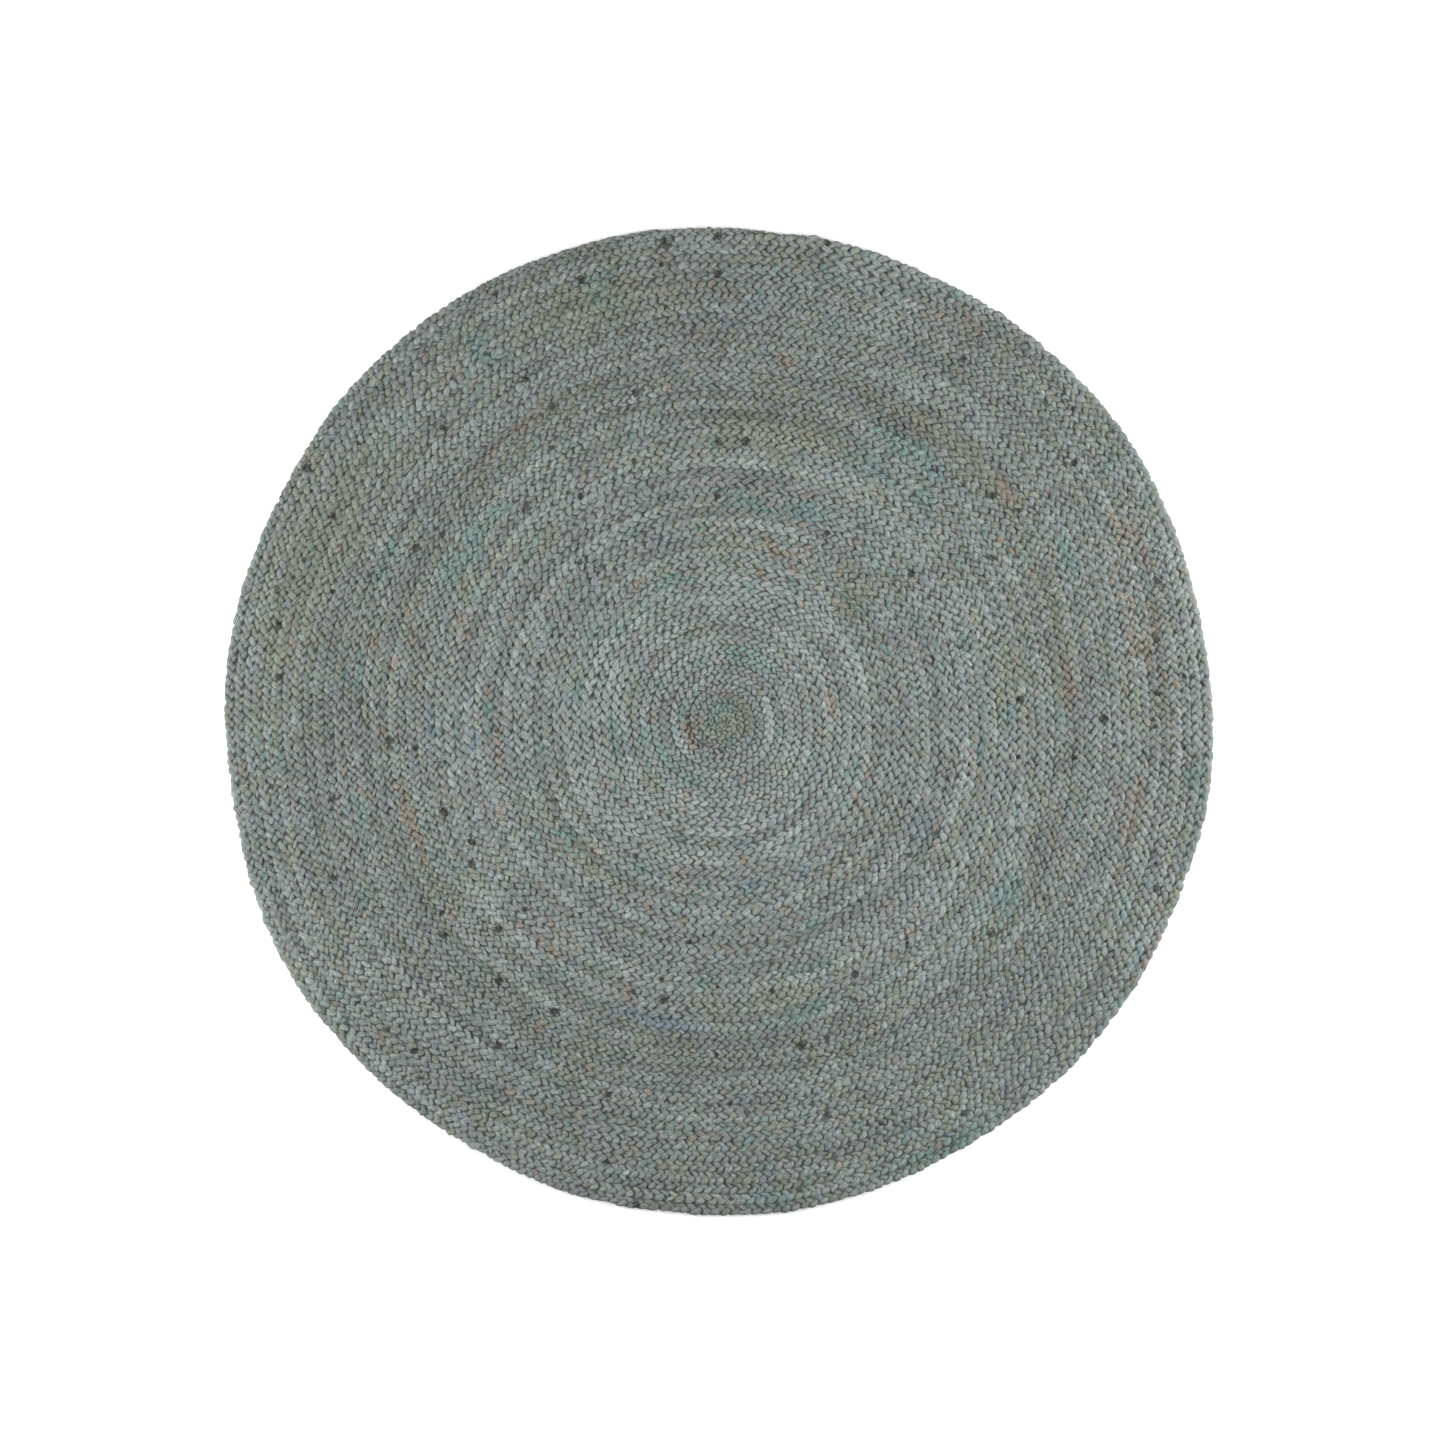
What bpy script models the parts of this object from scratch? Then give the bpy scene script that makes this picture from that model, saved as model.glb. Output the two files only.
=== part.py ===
# Round jute rug: one flat braid wound edge to edge into a disc, each turn stitched to the last.
# Metres, +Z up. The rug lies flat with its underside on Z = 0, and the middle of its outline is the origin.
import bmesh
import bpy
import numpy as np

# The braid and how it is wound
TURNS = 25
BRAID_WIDTH = 0.024
RUG_RADIUS = TURNS * BRAID_WIDTH
END_BEARING = 50.0  # degrees, counter-clockwise from +X: where the braid's tapered end meets the rim
TAPER_SWEEP = 80.0  # degrees of the last turn over which the braid narrows to nothing
EVEN_TURNS = 14.0  # up to here the winding is an even spiral
STEPPED_TURNS = 21.0  # from here each turn runs round the rug and steps out in the taper's sweep
EYE_SHARE = 0.2  # radius of the eye where the winding starts, in braid widths

# Heights over the floor
CREST_HEIGHT = 0.010
SEAM_HEIGHT = 0.007
RIM_HEIGHT = 0.004

# How far the side stands out past the top's edge, and the underside's edge inside the side
RIM_BULGE = 0.0010
FOOT_INSET = 0.0026

# Across one turn, in shares of its width: seam, two shoulders, seam
ACROSS = (
    {"share": 0.00, "raised": 0.0},
    {"share": 0.24, "raised": 1.0},
    {"share": 0.76, "raised": 1.0},
    {"share": 1.00, "raised": 0.0},
)
FULL_CREST_SHARE = 0.6  # a turn narrower than this share of a braid width is lower too

# Points round one turn
SEGMENTS = 60
WELD = 0.00005

# The hand-made unevenness. Bearings are in degrees from +X round, moves in metres outwards.
RIM = (
    {"bearing": 12, "out": -0.0027},
    {"bearing": 36, "out": 0.0026},
    {"bearing": 52, "out": 0.0006},
    {"bearing": 66, "out": -0.0020},
    {"bearing": 84, "out": -0.0022},
    {"bearing": 96, "out": 0.0022},
    {"bearing": 106, "out": 0.0008},
    {"bearing": 118, "out": 0.0026},
    {"bearing": 137, "out": 0.0025},
    {"bearing": 152, "out": -0.0013},
    {"bearing": 173, "out": 0.0010},
    {"bearing": 187, "out": -0.0027},
    {"bearing": 210, "out": 0.0038},
    {"bearing": 240, "out": -0.0018},
    {"bearing": 253, "out": 0.0012},
    {"bearing": 264, "out": -0.0008},
    {"bearing": 277, "out": 0.0013},
    {"bearing": 301, "out": -0.0027},
    {"bearing": 318, "out": -0.0003},
    {"bearing": 340, "out": -0.0021},
    {"bearing": 350, "out": 0.0013},
)
WANDER = (
    {"bearing": 0, "middle": -0.0051, "outer": -0.0064},
    {"bearing": 30, "middle": 0.0017, "outer": -0.0002},
    {"bearing": 60, "middle": -0.0008, "outer": 0.0042},
    {"bearing": 90, "middle": -0.0017, "outer": 0.0049},
    {"bearing": 120, "middle": -0.0027, "outer": 0.0057},
    {"bearing": 150, "middle": -0.0035, "outer": 0.0047},
    {"bearing": 180, "middle": -0.0024, "outer": 0.0042},
    {"bearing": 210, "middle": 0.0059, "outer": 0.0063},
    {"bearing": 240, "middle": 0.0022, "outer": 0.0063},
    {"bearing": 270, "middle": -0.0030, "outer": -0.0055},
    {"bearing": 300, "middle": 0.0019, "outer": -0.0055},
    {"bearing": 330, "middle": 0.0027, "outer": -0.0034},
)
WANDER_REACH = {"middle": 0.60, "outer": 0.89}  # where each column holds, in shares of the radius
EYE_OFFSET = (0.0036, -0.0006)  # the winding's eye from the middle of the outline

JUTE_COLOUR = (0.205, 0.230, 0.212, 1.0)
JUTE_ROUGHNESS = 0.95


def read_round(rows, column, bearing):
    """Reads one column of a table of bearings as a smooth closed curve."""
    at = np.array([rows[-1]["bearing"] - 360, *(row["bearing"] for row in rows), rows[0]["bearing"] + 360])
    values = np.array([rows[-1][column], *(row[column] for row in rows), rows[0][column]])
    degrees = np.degrees(bearing) % 360
    after = np.searchsorted(at, degrees, side="right")
    t = (degrees - at[after - 1]) / (at[after] - at[after - 1])
    return values[after - 1] + (values[after] - values[after - 1]) * t * t * (3 - 2 * t)


def seam_radius(step):
    """Even radius of the seam at a number of segments wound from the eye."""
    turn = np.asarray(step) / SEGMENTS
    whole = np.floor(turn)
    part = turn - whole
    stepped = np.clip(1 + (part - 1) * 360 / TAPER_SWEEP, 0, 1)
    rise = np.clip((turn - EVEN_TURNS) / (STEPPED_TURNS - EVEN_TURNS), 0, 1)
    blend = rise * rise * (3 - 2 * rise)
    wound = whole + (1 - blend) * part + blend * stepped
    first = EYE_SHARE + (1 - EYE_SHARE) * turn
    return BRAID_WIDTH * np.clip(np.where(turn < 1, first, wound), 0, TURNS)


def bearing_of(step):
    """Bearing in radians at a number of segments wound from the eye, clockwise seen from above."""
    return np.radians(END_BEARING) - 2 * np.pi * np.asarray(step) / SEGMENTS


def wander(share, bearing):
    """How far the hand winding strays outwards, with none at the eye and at the rim."""
    middle, outer = (read_round(WANDER, column, bearing) for column in WANDER_REACH)
    near, far = WANDER_REACH["middle"], WANDER_REACH["outer"]
    rising = middle * share / near
    passing = middle + (outer - middle) * (share - near) / (far - near)
    falling = outer * (1 - share) / (1 - far)
    return np.select([share < near, share < far], [rising, passing], falling)


def laid_out(radius, bearing):
    """Moves an even radius and bearing to the uneven place on the floor."""
    share = radius / RUG_RADIUS
    reach = share * (RUG_RADIUS - RIM_BULGE + read_round(RIM, "out", bearing)) + wander(share, bearing)
    drift = 1 - share**4
    x = reach * np.cos(bearing) + drift * EYE_OFFSET[0]
    y = reach * np.sin(bearing) + drift * EYE_OFFSET[1]
    return x, y


def wind_braid(bm):
    """Winds a flat strip of quads, one row of points to each line across the braid, into the spiral."""
    rows = len(ACROSS)
    steps = TURNS * SEGMENTS
    bmesh.ops.create_grid(bm, x_segments=steps, y_segments=rows - 1, size=0.5)
    bm.verts.ensure_lookup_table()
    flat = np.array([vert.co[:2] for vert in bm.verts])
    step = np.rint((flat[:, 0] + 0.5) * steps)
    row = np.rint((flat[:, 1] + 0.5) * (rows - 1)).astype(int)
    share = np.take([line["share"] for line in ACROSS], row)
    raised = np.take([line["raised"] for line in ACROSS], row)
    inner = seam_radius(step)
    outer = seam_radius(step + SEGMENTS)
    x, y = laid_out((1 - share) * inner + share * outer, bearing_of(step))
    fullness = np.clip((outer - inner) / (FULL_CREST_SHARE * BRAID_WIDTH), 0, 1)
    z = SEAM_HEIGHT + raised * fullness * (CREST_HEIGHT - SEAM_HEIGHT)
    for vert, place in zip(bm.verts, np.stack([x, y, z], 1)):
        vert.co = place
    bmesh.ops.remove_doubles(bm, verts=bm.verts, dist=WELD)


def open_loops(bm):
    """The open edges as a pair: those of the eye and those of the rim."""
    limit = 2 * BRAID_WIDTH
    edges = [edge for edge in bm.edges if edge.is_boundary]
    eye = [edge for edge in edges if edge.verts[0].co.xy.length < limit]
    rim = [edge for edge in edges if edge.verts[0].co.xy.length >= limit]
    return eye, rim


def fill_eye(bm, edges):
    """Closes the eye with a low crown inside the first seam."""
    face = bmesh.ops.edgeloop_fill(bm, edges=edges)["faces"]
    crown = bmesh.ops.poke(bm, faces=face, center_mode="MEAN")["verts"]
    crown[0].co.z = CREST_HEIGHT


def close_side(bm, edges):
    """Runs the rim down in a rounded side to the underside and closes it flat."""
    for out, height in ((RIM_BULGE, RIM_HEIGHT), (-FOOT_INSET, 0.0)):
        made = bmesh.ops.extrude_edge_only(bm, edges=edges)["geom"]
        edges = [item for item in made if isinstance(item, bmesh.types.BMEdge)]
        for vert in (item for item in made if isinstance(item, bmesh.types.BMVert)):
            reach = vert.co.xy.length
            vert.co.xy *= (reach + out) / reach
            vert.co.z = height
    bmesh.ops.edgeloop_fill(bm, edges=edges)


def centre_outline(bm):
    """Puts the middle of the outline's box on the origin."""
    places = np.array([vert.co for vert in bm.verts])
    middle = (places.min(0) + places.max(0)) / 2
    bmesh.ops.translate(bm, verts=bm.verts, vec=(-middle[0], -middle[1], 0.0))


def jute_material():
    material = bpy.data.materials.new("jute_braid")
    material.use_nodes = True
    shader = material.node_tree.nodes["Principled BSDF"]
    shader.inputs["Base Color"].default_value = JUTE_COLOUR
    shader.inputs["Roughness"].default_value = JUTE_ROUGHNESS
    return material


def build_rug(collection):
    bm = bmesh.new()
    wind_braid(bm)
    eye, rim = open_loops(bm)
    fill_eye(bm, eye)
    close_side(bm, rim)
    centre_outline(bm)
    bmesh.ops.recalc_face_normals(bm, faces=bm.faces)
    mesh = bpy.data.meshes.new("rug")
    bm.to_mesh(mesh)
    bm.free()
    mesh.materials.append(jute_material())
    rug = bpy.data.objects.new("rug", mesh)
    collection.objects.link(rug)
    return rug


for existing in list(bpy.data.objects):
    bpy.data.objects.remove(existing, do_unlink=True)

rug_collection = bpy.data.collections.new("round_jute_rug")
bpy.context.scene.collection.children.link(rug_collection)
build_rug(rug_collection)
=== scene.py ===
# Round jute rug: dyed jute strands plaited in threes, and two plaits wound side by side into a disc
import bpy
import numpy as np
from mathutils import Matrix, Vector


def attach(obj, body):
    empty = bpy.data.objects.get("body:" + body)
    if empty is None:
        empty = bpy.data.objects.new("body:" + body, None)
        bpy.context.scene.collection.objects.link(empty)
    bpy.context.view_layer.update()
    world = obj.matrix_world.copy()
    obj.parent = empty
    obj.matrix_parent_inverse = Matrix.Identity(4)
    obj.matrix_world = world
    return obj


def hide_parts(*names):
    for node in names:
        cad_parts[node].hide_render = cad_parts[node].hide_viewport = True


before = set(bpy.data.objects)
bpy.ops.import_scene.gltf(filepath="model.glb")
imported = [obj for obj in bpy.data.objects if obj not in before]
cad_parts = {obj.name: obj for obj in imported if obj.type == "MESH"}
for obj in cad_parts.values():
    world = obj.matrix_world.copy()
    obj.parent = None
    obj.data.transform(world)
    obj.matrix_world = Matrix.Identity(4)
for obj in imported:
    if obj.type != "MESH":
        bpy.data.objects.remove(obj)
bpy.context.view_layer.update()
bpy.ops.object.select_all(action="DESELECT")
bpy.context.scene.view_settings.view_transform = "Standard"

# how the rug is wound, in metres, degrees and turns from the eye
winding = {
    "turns": 25,
    "plaitWidth": 0.024,
    "endBearing": 50.0,  # where a turn begins and ends
    "taperSweep": 80.0,
    "evenTurns": 14.0,  # so far out, the turns widen evenly
    "steppedTurns": 21.0,  # from here on, each is a ring that steps outwards over the taper
    "eyeShare": 0.2,
    "eyeTail": 0.85,  # turns of plait tucked into the eye
    "eyeOffset": (0.0036, -0.0006),
    "segments": 60,
    "lastTurn": 24.905,
    "joinSweep": 0.03,  # turns over which the one inside widens out to the rim
    "joinWidth": 0.016,  # where the last turn is narrower, its inner plait takes over
    "joinBlend": 0.4,
}
rugRadius = winding["turns"] * winding["plaitWidth"]

# lumps and dips of the hand-made rim
rimShape = (
    {"bearing": 12, "out": -0.0027},
    {"bearing": 36, "out": 0.0026},
    {"bearing": 52, "out": 0.0006},
    {"bearing": 66, "out": -0.0020},
    {"bearing": 84, "out": -0.0022},
    {"bearing": 96, "out": 0.0022},
    {"bearing": 106, "out": 0.0008},
    {"bearing": 118, "out": 0.0026},
    {"bearing": 137, "out": 0.0025},
    {"bearing": 152, "out": -0.0013},
    {"bearing": 173, "out": 0.0010},
    {"bearing": 187, "out": -0.0027},
    {"bearing": 210, "out": 0.0038},
    {"bearing": 240, "out": -0.0018},
    {"bearing": 253, "out": 0.0012},
    {"bearing": 264, "out": -0.0008},
    {"bearing": 277, "out": 0.0013},
    {"bearing": 301, "out": -0.0027},
    {"bearing": 318, "out": -0.0003},
    {"bearing": 340, "out": -0.0021},
    {"bearing": 350, "out": 0.0013},
)
# how far the turns stray outwards, at two distances from the eye
turnWander = (
    {"bearing": 0, "middle": -0.0051, "outer": -0.0064},
    {"bearing": 30, "middle": 0.0017, "outer": -0.0002},
    {"bearing": 60, "middle": -0.0008, "outer": 0.0042},
    {"bearing": 90, "middle": -0.0017, "outer": 0.0049},
    {"bearing": 120, "middle": -0.0027, "outer": 0.0057},
    {"bearing": 150, "middle": -0.0035, "outer": 0.0047},
    {"bearing": 180, "middle": -0.0024, "outer": 0.0042},
    {"bearing": 210, "middle": 0.0059, "outer": 0.0063},
    {"bearing": 240, "middle": 0.0022, "outer": 0.0063},
    {"bearing": 270, "middle": -0.0030, "outer": -0.0055},
    {"bearing": 300, "middle": 0.0019, "outer": -0.0055},
    {"bearing": 330, "middle": 0.0027, "outer": -0.0034},
)
wanderReach = {"middle": 0.60, "outer": 0.89}  # shares of the rug's radius


def readRound(rows, column, bearing):
    # a table's column at any bearing, blended between its rows and round past 360 degrees
    at = np.array([rows[-1]["bearing"] - 360, *(row["bearing"] for row in rows), rows[0]["bearing"] + 360])
    values = np.array([rows[-1][column], *(row[column] for row in rows), rows[0][column]])
    degrees = np.degrees(bearing) % 360
    after = np.searchsorted(at, degrees, side="right")
    t = (degrees - at[after - 1]) / (at[after] - at[after - 1])
    return values[after - 1] + (values[after] - values[after - 1]) * t * t * (3 - 2 * t)


def seamRadius(turn):
    # even radius of the seam after this many turns; before the eye's first turn it's the middle
    whole = np.floor(turn)
    part = turn - whole
    stepped = np.clip(1 + (part - 1) * 360 / winding["taperSweep"], 0, 1)
    rise = np.clip((turn - winding["evenTurns"]) / (winding["steppedTurns"] - winding["evenTurns"]), 0, 1)
    blend = rise * rise * (3 - 2 * rise)
    wound = whole + (1 - blend) * part + blend * stepped
    first = winding["eyeShare"] + (1 - winding["eyeShare"]) * turn
    wound = np.where(turn < 1, np.where(turn < 0, 0, first), wound)
    # past the end of the last turn the one inside it widens out to the rim
    ended = np.clip((turn - winding["lastTurn"]) / winding["joinSweep"] + 0.5, 0, 1)
    wound = wound + (winding["turns"] - wound) * ended
    return winding["plaitWidth"] * np.clip(wound, 0, winding["turns"])


def bearingOf(turn):
    return np.radians(winding["endBearing"]) - 2 * np.pi * turn  # clockwise seen from above


def strayed(share, bearing):
    # nothing at the middle and the rim, and the table's values in between
    middle, outer = (readRound(turnWander, column, bearing) for column in wanderReach)
    near, far = wanderReach["middle"], wanderReach["outer"]
    rising = middle * share / near
    passing = middle + (outer - middle) * (share - near) / (far - near)
    falling = outer * (1 - share) / (1 - far)
    return np.select([share < near, share < far], [rising, passing], falling)


def laidOut(radius, bearing):
    # x and y of an even radius and bearing, with the hand-made rim, the strayed turns and the eye to one side
    share = radius / rugRadius
    reach = share * (rugRadius + readRound(rimShape, "out", bearing)) + strayed(share, bearing)
    drift = 1 - share**4
    x = reach * np.cos(bearing) + drift * winding["eyeOffset"][0]
    y = reach * np.sin(bearing) + drift * winding["eyeOffset"][1]
    return np.stack([x, y], -1)


ring = bearingOf(np.arange(winding["segments"]) / winding["segments"])
outline = laidOut(np.full(len(ring), rugRadius), ring)
outlineMiddle = (outline.min(0) + outline.max(0)) / 2

# the two plaits that lie side by side in each turn: the share of the turn's width that each takes, how far it
# laps over the one before, how much lower it lies, its tone, how far it swings at the rim, and its last turn
plaits = (
    {
        "name": "widePlait", "lane": 0, "share": 0.54, "lap": 0.0,
        "lower": 0.0, "tone": 1.01, "rimSway": 0.78, "lastTurn": 24.905,
    },
    {
        "name": "narrowPlait", "lane": 1, "share": 0.46, "lap": 0.04,
        "lower": 0.0004, "tone": 0.98, "rimSway": 0.8, "lastTurn": 24.870,
    },
)
# one strand of a plait, in metres: it swings from side to side and over and under the other two
strand = {
    "count": 3,
    "waveRadius": (0.03, 0.09, 0.14, 0.30, 0.45),  # distances from the eye, for the lengths of a wave there
    "wave": (0.0245, 0.0325, 0.0365, 0.0360, 0.0345),
    "waveVaries": 0.12,
    "quickReach": 0.05,  # a wave's length varies once in this length of plait, and half as much once in slowReach
    "slowReach": 0.3,
    "swing": 0.0046,
    "tautness": 0.55,  # nearer 1 the strand runs straighter and turns more sharply at the plait's sides
    "middleHeight": 0.0050,
    "lift": 0.0026,
    "leanRise": 0.0007,  # the outer side of a plait rides over the next turn
    "steep": 0.35,  # how much sooner it climbs over than it sinks under
    "grainWidth": 0.0071,
    "grainHeight": 0.0050,
    "edgeWidth": 0.0062,
    "outerWider": 0.12,
    "edgeHeight": 0.0054,
    "fullness": (0.2, 1.1),  # least and most size of a plait where its turn narrows or widens
    "widthVaries": 0.15,
    "heightVaries": 0.12,
    "swingVaries": 0.14,
    "liftVaries": 0.28,
    "slipVaries": 0.0014,
    "slowVaries": 0.05,
    "slowQuarters": 40,
    "calmTurns": 9.0,  # the work is tighter and more even near the eye
    "calmest": 0.4,
    "calmSwing": 0.86,
    "eyeSlimmer": 0.20,
    "rimTurns": 1.05,  # so far in from the rim, the outer grains swing less
    "lumps": 0.11,
    "stations": (0, 29, 58, 87, 132, 180, 212, 244, 300),  # degrees of a wave at which it gets a ring of points
    "sides": 6,
    "endFade": 0.012,
    "endThin": 0.6,
    "samplesPerTurn": 720,
    "seeds": {"wave": 7, "strand": 17, "lumps": 117},
}


def blended(rng, at, spread):
    # a random value for each whole number, blended in between
    values = rng.normal(0, spread, int(at.max()) + 4).clip(-2 * spread, 2 * spread)
    return np.interp(at, np.arange(len(values)), values)


def laneAt(plait, turn):
    # middle radius and width of a plait; where the last turn narrows, the inner one takes over the whole of it
    inner, outer = seamRadius(turn), seamRadius(turn + 1)
    blend = winding["joinBlend"] * winding["joinWidth"]
    narrowed = np.clip((winding["joinWidth"] - outer + inner) / blend, 0, 1)
    parting = plaits[0]["share"] + plaits[1]["share"] * np.where(turn > winding["turns"] - 1, narrowed, 0)
    low, high = (0, parting) if plait["lane"] == 0 else (parting - plait["lap"], 1)
    return inner + (outer - inner) * (low + high) / 2, (outer - inner) * (high - low)


def plaitWaves(plait):
    # turns from the eye against waves of the plait, along its middle line
    samples = strand["samplesPerTurn"] * (winding["turns"] + 1)
    turn = np.linspace(-winding["eyeTail"], plait["lastTurn"], samples)
    path = laidOut(laneAt(plait, turn)[0], bearingOf(turn))
    length = np.concatenate([[0], np.cumsum(np.linalg.norm(np.diff(path, axis=0), axis=1))])
    wave = np.interp(turn * winding["plaitWidth"], strand["waveRadius"], strand["wave"])
    rng = np.random.default_rng(strand["seeds"]["wave"] + plait["lane"])
    quick = blended(rng, length / strand["quickReach"], strand["waveVaries"])
    slow = blended(rng, length / strand["slowReach"], strand["waveVaries"] / 2)
    wave *= 1 + quick + slow
    waves = np.concatenate([[0], np.cumsum(np.diff(length) / wave[1:])])
    print(plait["name"], round(length[-1], 2), "m long with", int(waves[-1]), "waves")
    return turn, waves


def strandRings(plait, turns, waves, ofPlait, number):
    # places, side and up vectors and half sizes of a strand's rings, by its number in the plait and in all
    whole = np.arange(int(waves[-1]) + 4)
    phase = (whole[:, None] * 360.0 + np.array(strand["stations"], float)[None]).ravel()
    along = (phase - 360.0 * ofPlait / strand["count"]) / 360.0
    kept = (along >= 0) & (along <= waves[-1])
    phase, along = phase[kept], along[kept]
    quarters = phase / 90.0
    grain = quarters + 0.5  # each quarter wave varies by itself, blended into the next
    rng = np.random.default_rng(strand["seeds"]["strand"] + number)
    loose = np.clip(np.interp(along, waves, turns) / strand["calmTurns"], strand["calmest"], 1)
    wider = 1 + loose * blended(rng, grain, strand["widthVaries"])
    wider = wider - strand["eyeSlimmer"] * (1 - loose)
    taller = 1 + loose * blended(rng, grain, strand["heightVaries"])
    swings = strand["calmSwing"] + (1 - strand["calmSwing"]) * loose
    swings = swings + loose * blended(rng, grain, strand["swingVaries"])
    lifts = 1 + loose * blended(rng, grain, strand["liftVaries"])
    slips = loose * blended(rng, grain, strand["slipVaries"]) / strand["wave"][-1]
    slow = 1 + blended(rng, quarters / strand["slowQuarters"], strand["slowVaries"])
    evenWidth = winding["plaitWidth"] / len(plaits)

    def pathAt(wave, angle):
        turn = np.interp(wave + slips, waves, turns)
        middle, width = laneAt(plait, turn)
        taut = strand["tautness"]
        sway = np.arcsin(taut * np.sin(angle)) / np.arcsin(taut)
        atRim = (turn > winding["turns"] - strand["rimTurns"]) & (sway > 0)
        sway = np.where(atRim, plait["rimSway"] * sway, sway)
        swung = middle + width * strand["swing"] / evenWidth * sway * swings
        flat = laidOut(swung, bearingOf(turn)) - outlineMiddle
        full = np.clip(width / evenWidth, *strand["fullness"])
        full = full * np.clip((plait["lastTurn"] - turn) / strand["endFade"], strand["endThin"], 1)
        over = strand["lift"] * (np.sin(2 * angle) + strand["steep"] * np.sin(4 * angle)) * lifts
        height = strand["middleHeight"] - plait["lower"] + (over + strand["leanRise"] * sway) * np.sqrt(full)
        return np.concatenate([flat, height[:, None]], 1), full

    angle = np.radians(phase)
    place, full = pathAt(along, angle)
    step = 0.004  # of a wave, ahead and behind, to find which way the strand runs
    ahead, _ = pathAt(along + step, angle + 2 * np.pi * step)
    behind, _ = pathAt(along - step, angle - 2 * np.pi * step)
    way = ahead - behind
    way /= np.linalg.norm(way, axis=1)[:, None]
    side = np.stack([-way[:, 1], way[:, 0], np.zeros(len(way))], 1)
    side /= np.linalg.norm(side, axis=1)[:, None]
    up = np.cross(way, side)
    up *= np.sign(up[:, 2:3])
    onFace = np.abs(np.sin(2 * angle))
    halfWidth = 0.5 * (strand["edgeWidth"] + (strand["grainWidth"] - strand["edgeWidth"]) * onFace)
    halfHeight = 0.5 * (strand["edgeHeight"] + (strand["grainHeight"] - strand["edgeHeight"]) * onFace)
    halfWidth = halfWidth * (1 + strand["outerWider"] * np.sin(angle)) * wider * slow * full
    halfHeight = halfHeight * taller * np.sqrt(full)
    return {
        "place": place, "side": side, "up": up, "halfWidth": halfWidth, "halfHeight": halfHeight,
        "quarters": quarters,
    }


# how a strand is laid in rows on the square that the bake paints, with gaps between them
bakeMap = {"rows": 54, "rowMargin": 0.04, "margin": 0.002}


def addMaps(mesh, quarters, sides):
    # strandMap: quarter waves along, round the strand across. OFBake: the same in rows, over the whole square
    count = len(quarters)
    corner = np.arange(sides)[None]
    cell = np.arange(count - 1)[:, None] + np.zeros((1, sides))
    low, high = quarters[:-1, None] + 0 * corner, quarters[1:, None] + 0 * corner
    left, right = corner / sides + 0 * low, (corner + 1) / sides + 0 * low
    along = np.stack([low, high, high, low], -1).reshape(-1)
    across = np.stack([left, left, right, right], -1).reshape(-1)
    perRow = int(np.ceil((count - 1) / bakeMap["rows"]))
    row = (cell // perRow).astype(int)
    begin = quarters[np.minimum(row * perRow, count - 1)]
    rowEnds = quarters[perRow::perRow]
    spread = np.max(rowEnds - quarters[:-perRow:perRow][: len(rowEnds)])
    rowAlong = np.stack([low - begin, high - begin, high - begin, low - begin], -1).reshape(-1) / spread
    bakeU = bakeMap["margin"] + (1 - 2 * bakeMap["margin"]) * rowAlong
    inRow = bakeMap["rowMargin"] + (1 - 2 * bakeMap["rowMargin"]) * across
    bakeV = (np.repeat(row.reshape(-1), 4) + inRow) / bakeMap["rows"]
    ends = np.zeros(2 * sides)
    for layer, u, v in (("strandMap", along, across), ("OFBake", bakeU, bakeV)):
        uv = mesh.uv_layers.new(name=layer)
        corners = np.stack([np.concatenate([u, ends]), np.concatenate([v, ends])], 1)
        uv.data.foreach_set("uv", corners.astype(np.float32).ravel())


def tubeMesh(name, rings, number, tone):
    # a closed tube through the rings, with its maps and its shares of the dyes
    sides = strand["sides"]
    count = len(rings["quarters"])
    cornerAngle = 2 * np.pi * np.arange(sides) / sides
    rng = np.random.default_rng(strand["seeds"]["lumps"] + number)
    most = 2 * strand["lumps"]
    lump = 1 + rng.normal(0, strand["lumps"], (count, sides, 1)).clip(-most, most)
    across = np.cos(cornerAngle)[None, :, None] * (rings["side"] * rings["halfWidth"][:, None])[:, None]
    over = np.sin(cornerAngle)[None, :, None] * (rings["up"] * rings["halfHeight"][:, None])[:, None]
    points = rings["place"][:, None] + (across + over) * lump
    points[..., 2] = points[..., 2].clip(0.0, None)  # the lowest ones lie flat on the floor
    points = points.reshape(-1, 3)
    ring = np.arange(count - 1)[:, None] * sides
    corner = np.arange(sides)[None]
    following = (corner + 1) % sides
    quads = np.stack([ring + corner, ring + sides + corner, ring + sides + following, ring + following], -1)
    ends = [list(range(sides)), list(range((count - 1) * sides, count * sides))[::-1]]
    mesh = bpy.data.meshes.new(name)
    mesh.from_pydata(points.tolist(), [], quads.reshape(-1, 4).tolist() + ends)
    mesh.update()
    addMaps(mesh, rings["quarters"], sides)
    values = {"strandNumber": np.full(len(points), float(number)), **dyeShares(points)}
    values["lotTone"] = values["lotTone"] * tone
    for layer, value in values.items():
        mesh.attributes.new(layer, "FLOAT", "POINT").data.foreach_set("value", value.astype(np.float32))
    mesh.shade_smooth()
    piece = bpy.data.objects.new(name, mesh)
    bpy.context.collection.objects.link(piece)
    return piece


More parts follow.
